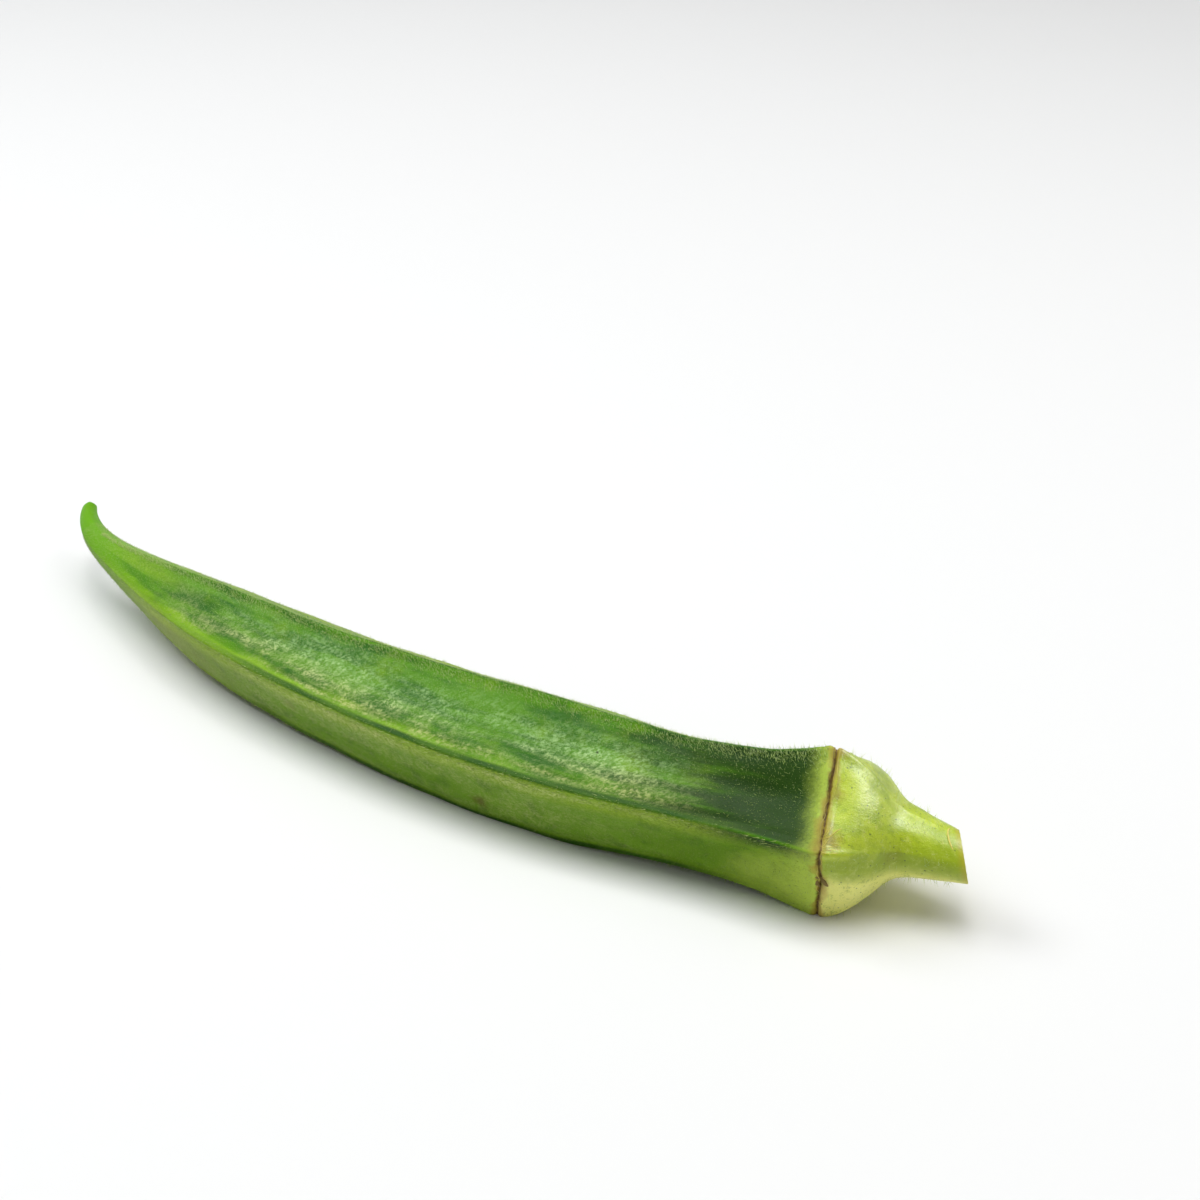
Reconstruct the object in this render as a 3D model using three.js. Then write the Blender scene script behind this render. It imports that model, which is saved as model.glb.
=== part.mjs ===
// A fresh okra pod, picked with its cap and a short cut stem, lying on a table.
// Millimetres, +Z up. The tip points along -X and the cut stem along +X, and the middle of the pod bows towards -Y.
import * as THREE from 'three';
import { mergeVertices } from 'three/addons/utils/BufferGeometryUtils.js';

// Driving dimensions: lengths in millimetres along the pod's axis, counted from the scar ring, and angles in degrees
const podLength = 124.4;
const stemLength = 14.3;
const bendPerMm = 0.26;
const hookLength = 20;
const hookBend = 35.5;
const stemBend = 6.5;

// How the pod lies: the axis is highest at the ring, dips to the belly and rises again to the tip
const ringHeight = 7.7;
const axisDip = 0.036;
const tipRise = 4.6;

// The outline: distance from the scar ring, towards the tip, and the radius out to the ridges there
const outline = [
  [-stemLength, 2.8],
  [-11.8, 3.35],
  [-9.2, 4.1],
  [-7.2, 5.0],
  [-5.1, 7.25],
  [-3.1, 9.0],
  [-1.2, 9.75],
  [0, 9.9],
  [1.5, 9.75],
  [4, 9.0],
  [8, 8.25],
  [17, 7.8],
  [31, 8.65],
  [47, 8.4],
  [62, 7.7],
  [78, 6.8],
  [89, 5.75],
  [99.5, 4.05],
  [108, 2.7],
  [115, 1.9],
  [121, 1.3],
];
const tipRadius = 1.1;

// How finely the body is divided: the longest step along it, the fewest steps between two points of the outline,
// the steps of the round tip, the columns for each ridge and how strongly those are drawn towards the ridges
const longestStep = 3;
const leastSteps = 3;
const tipSteps = 4;
const columnsPerRidge = 8;
const ridgeDraw = 0.65;

// The cross-section: five ridges with thin ribs, and faces a little hollow between them. Heights are shares of the
// radius, and the corner's softness and the rib's half width are in degrees round the axis.
const ridgeCount = 5;
const cornerSoftness = 4;
const ribHeight = 0.041;
const ribHalfWidth = 3.2;
const faceHollow = 0.035;
const roundShare = 0.93;

// The faces are hollower just below the shoulder, where the ridges flare out to the scar ring
const shoulderHollow = 0.085;
const shoulderMiddle = 5.5;
const shoulderReach = 5;

// How angular the section is along the pod: 0 is round, 1 has the full five corners
const angularity = [
  [-12, 0],
  [-5, 0.35],
  [-1, 1],
  [3, 1],
  [85, 0.9],
  [120, 0.3],
];

// The scar that the fallen flower left: a narrow groove round the shoulder, in a plane that leans a little
const scarDepth = 0.3;
const scarHalfWidth = 0.35;
const scarLean = 5;
const scarReach = 10;

// The knife cut at the end of the stem is slanted: its near side and its lower side are longer
const cutTurn = 23;
const cutTilt = 13;
const cutReach = 5;

const { clamp, degToRad, lerp } = THREE.MathUtils;
const sector = 360 / ridgeCount;
const halfSector = sector / 2;

// A value read off a list of [distance, value] pairs, straight between them
function readOff(pairs, distance) {
  const next = pairs.findIndex(([place]) => place >= distance);
  if (next === -1) return pairs.at(-1)[1];
  if (next === 0) return pairs[0][1];
  const [from, to] = [pairs[next - 1], pairs[next]];
  return lerp(from[1], to[1], (distance - from[0]) / (to[0] - from[0]));
}

// The direction of the axis, in degrees, at a distance from the ring: an even bend, a hooked tip and a turned stem
function heading(distance) {
  const intoHook = clamp((distance - podLength + hookLength) / hookLength, 0, 1);
  const intoStem = Math.max(-distance, 0) / stemLength;
  return bendPerMm * Math.max(distance, 0) + hookBend * intoHook ** 2 + stemBend * intoStem;
}

// Points of the axis, one a millimetre or closer, from the stem's cut to the tip
function axisPoints() {
  const count = Math.ceil(podLength + stemLength);
  const step = (podLength + stemLength) / count;
  const points = [new THREE.Vector2(0, 0)];
  for (let i = 0; i < count; i += 1) {
    const angle = degToRad(heading(-stemLength + (i + 0.5) * step));
    const last = points[i];
    points.push(new THREE.Vector2(last.x - step * Math.cos(angle), last.y + step * Math.sin(angle)));
  }
  return points;
}

const axis = axisPoints();
const chord = axis.at(-1).clone().sub(axis[0]);
const chordTurn = Math.PI - chord.angle();

// The axis point and the direction towards the tip at a distance from the ring, turned so that the chord lies along X
function placeOnAxis(distance) {
  const along = ((distance + stemLength) / (podLength + stemLength)) * (axis.length - 1);
  const index = clamp(Math.floor(along), 0, axis.length - 2);
  const flat = axis[index].clone().lerp(axis[index + 1], along - index);
  flat.rotateAround(new THREE.Vector2(0, 0), chordTurn);
  const angle = degToRad(heading(distance)) - chordTurn;
  const reach = Math.max(distance, 0);
  const height = ringHeight - axisDip * reach + tipRise * (reach / podLength) ** 2;
  return {
    centre: new THREE.Vector3(flat.x, flat.y, height),
    tipward: new THREE.Vector3(-Math.cos(angle), Math.sin(angle), 0),
    outward: new THREE.Vector3(-Math.sin(angle), -Math.cos(angle), 0),
  };
}

// The section's radius as a share of the full one, at an angle in degrees from the nearest ridge
function sectionShare(fromRidge, distance) {
  const angular = readOff(angularity, distance);
  const nearShoulder = Math.exp(-(((distance - shoulderMiddle) / shoulderReach) ** 2));
  const hollow = faceHollow + shoulderHollow * nearShoulder;
  const soft = Math.hypot(fromRidge, cornerSoftness);
  const side = Math.cos(degToRad(halfSector)) / Math.cos(degToRad(halfSector - soft));
  const rib = ribHeight * Math.exp(-((fromRidge / ribHalfWidth) ** 2));
  const inFace = Math.sin(degToRad((90 * fromRidge) / halfSector)) ** 2;
  return lerp(roundShare, side + rib - hollow * inFace, angular);
}

// Even columns drawn towards the ridges, so that the ribs get narrow facets and the faces wide ones
function drawToRidges(angle) {
  const ridge = Math.round(angle / sector) * sector;
  const share = (angle - ridge) / halfSector;
  return ridge + halfSector * ((1 - ridgeDraw) * share + ridgeDraw * share ** 3);
}

// The lathe profile: a smooth curve through the outline, then a round tip, with both ends closed on the axis.
// It runs from the tip back to the stem, because bendPoint mirrors the body and would else turn it inside out.
function latheProfile() {
  const curve = new THREE.SplineCurve(outline.map(([distance, radius]) => new THREE.Vector2(radius, distance)));
  const profile = [new THREE.Vector2(0, -stemLength)];
  const spans = outline.length - 1;
  for (let span = 0; span < spans; span += 1) {
    const length = outline[span + 1][0] - outline[span][0];
    const steps = Math.max(leastSteps, Math.ceil(length / longestStep));
    for (let i = 0; i < steps; i += 1) profile.push(curve.getPoint((span + i / steps) / spans));
  }
  const tipStart = podLength - tipRadius;
  for (let i = 0; i < tipSteps; i += 1) {
    const angle = ((i / tipSteps) * Math.PI) / 2;
    profile.push(new THREE.Vector2(tipRadius * Math.cos(angle), tipStart + tipRadius * Math.sin(angle)));
  }
  profile.push(new THREE.Vector2(0, podLength));
  return profile.reverse();
}

// Bends one point of the lathe body into the pod: sideways is the distance out from the axis
function bendPoint(point) {
  const distance = point.y;
  const radius = Math.hypot(point.x, point.z);
  const turned = drawToRidges(THREE.MathUtils.radToDeg(Math.atan2(point.x, point.z)));
  const fromRidge = Math.abs(turned - Math.round(turned / sector) * sector);
  const groove = scarDepth * Math.exp(-((distance / scarHalfWidth) ** 2));
  const share = sectionShare(fromRidge, distance);
  const reach = Math.max(radius * share - groove, 0);
  const side = reach * Math.sin(degToRad(turned));
  const up = reach * Math.cos(degToRad(turned));
  const nearScar = Math.exp(-((distance / scarReach) ** 2));
  const lean = -side * Math.tan(degToRad(scarLean)) * nearScar;
  const nearCut = clamp((cutReach - stemLength - distance) / cutReach, 0, 1);
  const cut = (side * Math.tan(degToRad(cutTurn)) - up * Math.tan(degToRad(cutTilt))) * nearCut;
  const { centre, tipward, outward } = placeOnAxis(distance);
  const placed = centre.addScaledVector(outward, side).addScaledVector(tipward, lean - cut);
  placed.z += up;
  placed.z = Math.max(placed.z, 0);
  return placed;
}

// The pod as one closed body: its ridges are pressed flat at z = 0 where they lie on the table
function podGeometry() {
  const lathe = new THREE.LatheGeometry(latheProfile(), ridgeCount * columnsPerRidge);
  lathe.deleteAttribute('normal');
  lathe.deleteAttribute('uv');
  const geometry = mergeVertices(lathe, 1e-4);
  const position = geometry.getAttribute('position');
  for (let i = 0; i < position.count; i += 1) {
    const placed = bendPoint(new THREE.Vector3().fromBufferAttribute(position, i));
    position.setXYZ(i, placed.x, placed.y, placed.z);
  }
  geometry.computeBoundingBox();
  const middle = geometry.boundingBox.getCenter(new THREE.Vector3());
  geometry.translate(-middle.x, -middle.y, 0);
  geometry.computeVertexNormals();
  return geometry;
}

const okraSkin = new THREE.MeshStandardMaterial({ color: 0x6f9a2c, roughness: 0.55, metalness: 0 });
const okraPod = new THREE.Mesh(podGeometry(), okraSkin);
okraPod.name = 'okra_pod';

const okra = new THREE.Group();
okra.add(okraPod);

export default okra;
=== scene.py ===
# %% [markdown]
# # A fresh okra pod
#
# The pod grew as one piece: a long body with five ridges and a hooked tip, a flared shoulder with the
# scar of the fallen flower round it, a smooth cap and a stem cut with a knife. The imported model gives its
# plain shape and place. Here the same shape is made again with fine relief, a painted skin, a cut face,
# scar fibres and hairs.

# %% Load the frame
import math
import random

import bpy
import numpy as np
from mathutils import Matrix, Vector, noise


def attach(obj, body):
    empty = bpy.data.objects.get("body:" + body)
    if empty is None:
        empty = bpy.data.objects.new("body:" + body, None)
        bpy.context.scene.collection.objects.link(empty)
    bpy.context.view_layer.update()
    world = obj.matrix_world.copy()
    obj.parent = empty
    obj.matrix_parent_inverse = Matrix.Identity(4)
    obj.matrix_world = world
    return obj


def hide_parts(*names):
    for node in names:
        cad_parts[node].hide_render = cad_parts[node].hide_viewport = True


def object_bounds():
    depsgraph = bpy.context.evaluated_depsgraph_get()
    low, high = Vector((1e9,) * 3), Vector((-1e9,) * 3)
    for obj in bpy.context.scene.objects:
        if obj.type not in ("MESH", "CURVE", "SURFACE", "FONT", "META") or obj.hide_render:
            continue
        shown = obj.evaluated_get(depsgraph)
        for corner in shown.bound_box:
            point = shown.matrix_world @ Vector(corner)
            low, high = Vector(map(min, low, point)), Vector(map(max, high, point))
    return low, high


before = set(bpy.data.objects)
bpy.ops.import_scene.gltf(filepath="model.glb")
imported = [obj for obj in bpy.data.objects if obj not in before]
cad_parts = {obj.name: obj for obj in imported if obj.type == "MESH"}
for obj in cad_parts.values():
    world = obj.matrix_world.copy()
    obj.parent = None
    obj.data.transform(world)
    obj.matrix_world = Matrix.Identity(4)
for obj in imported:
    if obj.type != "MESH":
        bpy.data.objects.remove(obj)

MM = 0.001
cad_low, cad_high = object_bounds()
print("the solid is", [round(v / MM, 1) for v in cad_high - cad_low], "mm")

# %% [markdown]
# ## The pod's shape
#
# A pod could be sculpted by hand, but its shape follows a few rules: an axis that bends evenly and hooks
# at the tip, a radius that changes along it, and a section with five ridges. The rules are the ones the
# solid was made with, in millimetres from the scar ring, so the fine skin lies where the plain one does.

# %% Sizes of the pod
POD_LENGTH = 124.4
STEM_LENGTH = 14.3
BEND_PER_MM = 0.26
HOOK_LENGTH, HOOK_BEND = 20.0, 35.5
STEM_BEND = 6.5
RING_HEIGHT, AXIS_DIP, TIP_RISE = 7.7, 0.036, 4.6
TIP_RADIUS = 1.1
OUTLINE = [
    (-STEM_LENGTH, 2.8), (-11.8, 3.35), (-9.2, 4.1), (-7.2, 5.0), (-5.1, 7.25), (-3.1, 9.0), (-1.2, 9.75),
    (0, 9.9), (1.5, 9.75), (4, 9.0), (8, 8.25), (17, 7.8), (31, 8.65), (47, 8.4), (62, 7.7), (78, 6.8),
    (89, 5.75), (99.5, 4.05), (108, 2.7), (115, 1.9), (121, 1.3),
]
ANGULARITY = [(-12, 0), (-5, 0.35), (-1, 1), (3, 1), (85, 0.9), (120, 0.3)]
RIDGES = 5
SECTOR = 360 / RIDGES
CORNER_SOFTNESS, RIB_HEIGHT, RIB_HALF_WIDTH = 4, 0.041, 3.2
FACE_HOLLOW, ROUND_SHARE = 0.035, 0.93
SHOULDER_HOLLOW, SHOULDER_MIDDLE, SHOULDER_REACH = 0.085, 5.5, 5
SCAR_LEAN, SCAR_REACH = 5, 10
CUT_TURN, CUT_TILT, CUT_REACH = 23, 13, 5
print("the pod is", round(POD_LENGTH + STEM_LENGTH, 1), "mm along its axis")

# %% The axis


def bell(value, middle, half_width):
    """1 at the middle, falling smoothly to nothing a few half widths away."""
    return np.exp(-(((value - middle) / half_width) ** 2))


def heading(distance):
    """Direction of the axis in degrees: an even bend, a hooked tip and a turned stem."""
    into_hook = np.clip((distance - POD_LENGTH + HOOK_LENGTH) / HOOK_LENGTH, 0, 1)
    into_stem = np.maximum(-distance, 0) / STEM_LENGTH
    return BEND_PER_MM * np.maximum(distance, 0) + HOOK_BEND * into_hook**2 + STEM_BEND * into_stem


AXIS_STEPS = 600
axis_distance = np.linspace(-STEM_LENGTH, POD_LENGTH, AXIS_STEPS + 1)
axis_step = axis_distance[1] - axis_distance[0]
axis_angle = np.radians(heading((axis_distance[1:] + axis_distance[:-1]) / 2))
axis_x = np.r_[0, np.cumsum(-axis_step * np.cos(axis_angle))]
axis_y = np.r_[0, np.cumsum(axis_step * np.sin(axis_angle))]
chord_turn = math.pi - math.atan2(axis_y[-1], axis_x[-1])


def axis_frame(distance):
    """Centre, direction to the tip and direction to the outer side, as rows, with the chord along X."""
    x, y = np.interp(distance, axis_distance, axis_x), np.interp(distance, axis_distance, axis_y)
    cos, sin = math.cos(chord_turn), math.sin(chord_turn)
    reach = np.maximum(distance, 0)
    height = RING_HEIGHT - AXIS_DIP * reach + TIP_RISE * (reach / POD_LENGTH) ** 2
    angle = np.radians(heading(distance)) - chord_turn
    level = np.zeros_like(distance)
    centre = np.stack([cos * x - sin * y, sin * x + cos * y, height], -1)
    tipward = np.stack([-np.cos(angle), np.sin(angle), level], -1)
    outward = np.stack([-np.sin(angle), -np.cos(angle), level], -1)
    return centre, tipward, outward


print("the axis turns", round(float(heading(POD_LENGTH))), "degrees from the ring to the tip")

# %% The radius and the section


def smooth_outline(steps=30):
    """Distances and radii along a smooth curve through the outline, ended by a round tip."""
    points = np.array(OUTLINE, float)
    padded = np.vstack([points[:1], points, points[-1:]])
    share = np.arange(steps)[:, None] / steps
    curve = []
    for before, start, end, after in zip(padded, padded[1:], padded[2:], padded[3:]):
        leave, arrive = (end - before) / 2, (after - start) / 2
        cubic = (2 * start - 2 * end + leave + arrive) * share**3
        square = (-3 * start + 3 * end - 2 * leave - arrive) * share**2
        curve.append(cubic + square + leave * share + start)
    turn = np.radians(np.linspace(0, 90, 12))[:, None]
    tip = np.hstack([POD_LENGTH - TIP_RADIUS + TIP_RADIUS * np.sin(turn), TIP_RADIUS * np.cos(turn)])
    return np.vstack(curve + [tip]).T


outline_distance, outline_radius = smooth_outline()


def section_share(from_ridge, distance):
    """The section's radius as a share of the full one, at an angle in degrees from the nearest ridge."""
    soft = np.hypot(from_ridge, CORNER_SOFTNESS)
    side = math.cos(math.radians(SECTOR / 2)) / np.cos(np.radians(SECTOR / 2 - soft))
    rib = RIB_HEIGHT * bell(from_ridge, 0, RIB_HALF_WIDTH)
    hollow = FACE_HOLLOW + SHOULDER_HOLLOW * bell(distance, SHOULDER_MIDDLE, SHOULDER_REACH)
    in_face = np.sin(np.radians(180 * from_ridge / SECTOR)) ** 2
    angular = np.interp(distance, *zip(*ANGULARITY))
    return ROUND_SHARE + (side + rib - hollow * in_face - ROUND_SHARE) * angular


print("the outline reaches", round(outline_radius.max(), 1), "mm from the axis at the shoulder")

# %% [markdown]
# ## Fine relief
#
# A real skin isn't smooth: the seeds push faint swellings through the faces, fine wrinkles run along
# them, a hairline seam marks each ridge, and the scar is a torn, wavy groove with a pale lip. Such forms
# could be painted as bump, but they show in the outline and in the mesh, so they are moved in the mesh.
# Only grain finer than the mesh is bump.

# %% Relief of the skin


def wave(*coordinates):
    """Smooth noise from -1 to 1 at each point of arrays of equal shape; one unit is one swelling."""
    flat = [np.broadcast_to(c, coordinates[0].shape).ravel() for c in coordinates]
    values = [noise.noise(Vector(point)) for point in zip(*flat)]
    return np.array(values).reshape(coordinates[0].shape)


def ring_wobble(turned):
    """How far the torn scar strays from an even ring, in mm."""
    around = np.radians(turned)
    x, y = np.cos(around), np.sin(around)
    return 0.3 * wave(x * 2.1, y * 2.1, 0 * x + 7) + 0.08 * wave(x * 8, y * 8, 0 * x + 3)


def relief(distance, ridge_mm, face_mm, side, up, scar_mm):
    """Height of the fine forms over the plain shape, in mm."""
    on_pod = np.clip(distance / 6, 0, 1) * np.clip((118 - distance) / 25, 0, 1)
    on_cap = np.clip(-distance / 3, 0, 1)
    seeds = 0.16 * wave(distance / 6.5, side / 3.2, up / 3.2) * np.clip(np.abs(face_mm) / 3, 0.25, 1)
    wrinkles = 0.05 * wave(distance / 4, side / 0.8, up / 0.8)
    seam = -0.05 * bell(ridge_mm, -0.25, 0.2) - 0.12 * bell(ridge_mm, -0.8, 0.5)
    seam = seam * np.clip((95 - distance) / 35, 0, 1)
    pod = (seeds + wrinkles + seam) * on_pod
    worn_corner = -0.4 * bell(ridge_mm, 0, 2.0) * np.clip((12 + distance) / 4, 0, 1)
    cap = 0.10 * wave(distance / 3.5, side / 2, up / 2) + 0.03 * wave(distance / 1.2, side, up)
    cap = (cap + worn_corner) * on_cap
    torn = wave(distance * 0 + side / 1.6, up / 1.6, distance / 0.5)
    groove = -(0.3 + 0.2 * torn) * bell(scar_mm, 0, 0.18)
    pod_lip = (0.16 + 0.08 * torn) * bell(scar_mm, 0.75, 0.35)
    cap_lip = (0.10 - 0.10 * torn) * bell(scar_mm, -0.6, 0.3)
    thread = 0.10 * bell(scar_mm, -0.28, 0.09) * np.clip(0.5 + torn, 0, 1)
    return pod + cap + groove + pod_lip + cap_lip + thread


print("the torn ring strays up to", round(np.abs(ring_wobble(np.arange(360.0))).max(), 2), "mm")

# %% [markdown]
# ## The skin mesh
#
# The body is a net of rings along the axis and columns round it. The columns crowd towards the ridges and
# the rings towards the scar, where the forms are fine. Each point also keeps where it lies on the
# straightened pod, its distance from a ridge and from the scar, so that the paint can follow the pod's
# own directions instead of the bent space.

# %% Rings and columns of the net
COLUMNS_PER_RIDGE = 32
RIDGE_DRAW = 0.65


def stations():
    """Distances of the rings from the scar, closest round the scar and at both ends."""
    spans = [(-STEM_LENGTH, -13.9, 0.1), (-13.9, -2, 0.3), (-2, 2, 0.1), (2, 112, 0.38), (112, 122.6, 0.25)]
    parts = [np.arange(start, end, step) for start, end, step in spans]
    tip_turn = np.radians(np.linspace(0, 86, 14))
    tip = POD_LENGTH - TIP_RADIUS + TIP_RADIUS * np.sin(tip_turn)
    return np.unique(np.concatenate(parts + [tip]).round(4))


def columns():
    """Angles of the columns in degrees from the top ridge, drawn towards the ridges."""
    share = np.arange(-COLUMNS_PER_RIDGE // 2, COLUMNS_PER_RIDGE // 2) / (COLUMNS_PER_RIDGE / 2)
    offset = SECTOR / 2 * ((1 - RIDGE_DRAW) * share + RIDGE_DRAW * share**3)
    return (np.arange(RIDGES)[:, None] * SECTOR + offset[None, :]).ravel()


print("the net has", len(stations()), "rings and", len(columns()), "columns")

# %% Where a point of the skin lies


def skin_point(distance, turned, lift=0.0, fine=True):
    """Place of skin points in mm, with lift above the skin, and where they lie on the straight pod."""
    distance, turned = np.broadcast_arrays(np.asarray(distance, float), np.asarray(turned, float))
    radius = np.interp(distance, outline_distance, outline_radius)
    offset = turned - np.round(turned / SECTOR) * SECTOR
    reach = radius * section_share(np.abs(offset), distance)
    ridge_mm = np.radians(offset) * reach
    face_mm = np.radians(SECTOR / 2 - np.abs(offset)) * reach
    around = np.radians(turned)
    side, up = reach * np.sin(around), reach * np.cos(around)
    scar_mm = distance - ring_wobble(turned) * bell(distance, 0, 3)
    if fine:
        reach = np.maximum(reach + relief(distance, ridge_mm, face_mm, side, up, scar_mm), 0)
    reach = reach + lift
    wide, high = reach * np.sin(around), reach * np.cos(around)
    lean = -wide * math.tan(math.radians(SCAR_LEAN)) * bell(distance, 0, SCAR_REACH)
    near_cut = np.clip((CUT_REACH - STEM_LENGTH - distance) / CUT_REACH, 0, 1)
    slant = wide * math.tan(math.radians(CUT_TURN)) - high * math.tan(math.radians(CUT_TILT))
    centre, tipward, outward = axis_frame(distance)
    place = centre + outward * wide[..., None] + tipward * (lean - slant * near_cut)[..., None]
    place[..., 2] = np.maximum(place[..., 2] + high, 0)
    straight = np.stack([distance, side, up], -1)
    beside = np.sin(2 * np.pi * offset / SECTOR)
    return place, {"straight": straight, "from_ridge": np.abs(ridge_mm), "beside": beside, "scar": scar_mm}


plain_place, _ = skin_point(stations()[:, None], columns()[None, :], fine=False)
plain_low, plain_high = plain_place.min((0, 1)), plain_place.max((0, 1))
to_frame = (np.array(cad_low) + np.array(cad_high)) / 2 / MM - (plain_low + plain_high) / 2
to_frame[2] = 0
print("the axis is moved by", to_frame.round(3), "mm into the frame")

# %% Build the skin mesh


def mesh_object(name, places, faces, values):
    """A smooth mesh object from places in mm and faces, with named values at its points."""
    mesh = bpy.data.meshes.new(name)
    mesh.from_pydata([tuple(p) for p in np.asarray(places) * MM], [], faces)
    for key, value in values.items():
        kind = "FLOAT_VECTOR" if value.ndim == 2 else "FLOAT"
        layer = mesh.attributes.new(key, kind, "POINT")
        layer.data.foreach_set("vector" if value.ndim == 2 else "value", value.astype(np.float32).ravel())
    mesh.polygons.foreach_set("use_smooth", [True] * len(mesh.polygons))
    piece = bpy.data.objects.new(name, mesh)
    bpy.context.collection.objects.link(piece)
    return piece


def grid_faces(rings, around, start=0):
    """Quads between neighbouring rings of a closed tube."""
    faces = []
    for ring in range(rings - 1):
        row, following = start + ring * around, start + (ring + 1) * around
        for column in range(around):
            beside = (column + 1) % around
            faces.append((row + column, following + column, following + beside, row + beside))
    return faces


ring_distance, column_angle = stations(), columns()
place, where = skin_point(ring_distance[:, None], column_angle[None, :])
place += to_frame
rings, around = place.shape[:2]
tip_place, tip_where = skin_point(POD_LENGTH, 0.0)
points = np.vstack([place.reshape(-1, 3), tip_place + to_frame])
values = {}
for key, layer in where.items():
    values[key] = np.concatenate([layer.reshape(rings * around, *layer.shape[2:]), tip_where[key][None]])
faces = grid_faces(rings, around)
last = (rings - 1) * around
faces += [(last + c, rings * around, last + (c + 1) % around) for c in range(around)]
skin = mesh_object("okra_skin", points, faces, values)
print("the skin has", len(skin.data.polygons), "faces")

# %% [markdown]
# ## The cut face
#
# The stem was cut with a knife, so its end shows what is inside: a thin skin, a green rind, a ring of
# darker vessels and a pale, spongy pith that shrinks a little as it dries. A flat disc with paint would
# do from afar, but the rind stands a little proud, so the face is rings drawn in from the skin's own
# edge, each with its own height.

# %% Build the cut face
CUT_RINGS = 30
PITH_SHARE, VESSEL_SHARE = 0.62, 0.72

rim = place[0]
cut_centre = rim.mean(0)
cut_normal = np.cross(rim[0] - cut_centre, rim[around // 4] - cut_centre)
cut_normal *= np.sign(cut_normal[0]) / np.linalg.norm(cut_normal)


def cut_height(share, x, y):
    """Height of the cut face in mm: a proud rind, small vessel ends and a sunken, uneven pith."""
    pith = np.clip((PITH_SHARE - share) / 0.1, 0, 1)
    sponge = wave(x / 0.45, y / 0.45, 0 * x)
    ends = np.clip(wave(x / 0.22, y / 0.22, 0 * x + 5) * 2, 0, 1)
    vessels = 0.04 * bell(share, VESSEL_SHARE, 0.05) * ends
    knife = 0.015 * np.sin(x * 9 + 2 * wave(x, y, 0 * x + 2))
    burr = 0.05 * bell(share, 0.98, 0.03)
    return (-0.13 + 0.07 * sponge) * pith + vessels + (knife + burr) * (share < 0.999)


shares = np.r_[1, 1 - np.linspace(0.015, 0.985, CUT_RINGS) ** 1.1]
spokes = rim - cut_centre
across = spokes[0] / np.linalg.norm(spokes[0])
athwart = np.cross(cut_normal, across)
cut_flat = cut_centre + shares[:, None, None] * spokes[None, :, :]
cut_x, cut_y = (cut_flat - cut_centre) @ across, (cut_flat - cut_centre) @ athwart
cut_share = np.broadcast_to(shares[:, None], cut_x.shape)
cut_place = cut_flat + cut_normal * cut_height(cut_share, cut_x, cut_y)[..., None]
cut_points = np.vstack([cut_place.reshape(-1, 3), cut_place[-1].mean(0)])
cut_values = {
    "share": np.append(cut_share.ravel(), 0),
    "flat": np.vstack([np.stack([cut_x, cut_y, 0 * cut_x], -1).reshape(-1, 3), [0, 0, 0]]),
}
cut_faces = [face[::-1] for face in grid_faces(CUT_RINGS + 1, around)]
inner = CUT_RINGS * around
cut_faces += [(inner + c, inner + (c + 1) % around, len(cut_points) - 1) for c in range(around)]
cut_face = mesh_object("stem_cut_face", cut_points, cut_faces, cut_values)
print("the cut is", round(2 * np.linalg.norm(spokes, axis=1).max(), 1), "mm across at its widest")

# %% [markdown]
# ## Dry threads
#
# Where the flower's leaves tore off, the cork frays: fine tan threads lie along the crack, a few stand
# out of it, a brown flake hangs on, and a curl of skin was lifted by the knife at the cut. Each is a
# tapered, slightly flattened tube that follows a path given on the skin, so it can't float above the pod.

# %% Build the threads, the flake and the curl
THREAD_SEED = 21
strand_points, strand_tones, strand_faces = [], [], []


def strand(distances, turns, lifts, radius, tone, flatness=1.0, steps=18, sides=6):
    """Adds a tapered tube through stations on the skin, flattened onto it, with a colour tone 0 to 1."""
    share = np.linspace(0, 1, steps)
    knots = np.linspace(0, 1, len(distances))
    path, above = [skin_point(np.interp(share, knots, distances), np.interp(share, knots, turns),
                              lift=np.interp(share, knots, lifts) + extra)[0] for extra in (0.0, 1.0)]
    forward = np.gradient(path, axis=0)
    forward /= np.linalg.norm(forward, axis=1)[:, None]
    level = np.cross(forward, above - path)
    level /= np.linalg.norm(level, axis=1)[:, None]
    upright = np.cross(level, forward)
    thickness = radius * (0.15 + 0.85 * np.sqrt(np.sin(np.pi * np.clip(share, 0.001, 0.999))))[:, None]
    start = sum(len(p) for p in strand_points)
    rows = [path + thickness * (flatness * math.cos(a) * level + math.sin(a) * upright)
            for a in np.radians(np.arange(sides) * 360 / sides)]
    strand_points.append(np.stack(rows, 1).reshape(-1, 3))
    strand_tones.append(np.full(steps * sides, tone))
    strand_faces.extend(grid_faces(steps, sides, start))
    strand_faces.append(tuple(range(start, start + sides)))
    strand_faces.append(tuple(range(start + steps * sides - 1, start + (steps - 1) * sides - 1, -1)))


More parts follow.
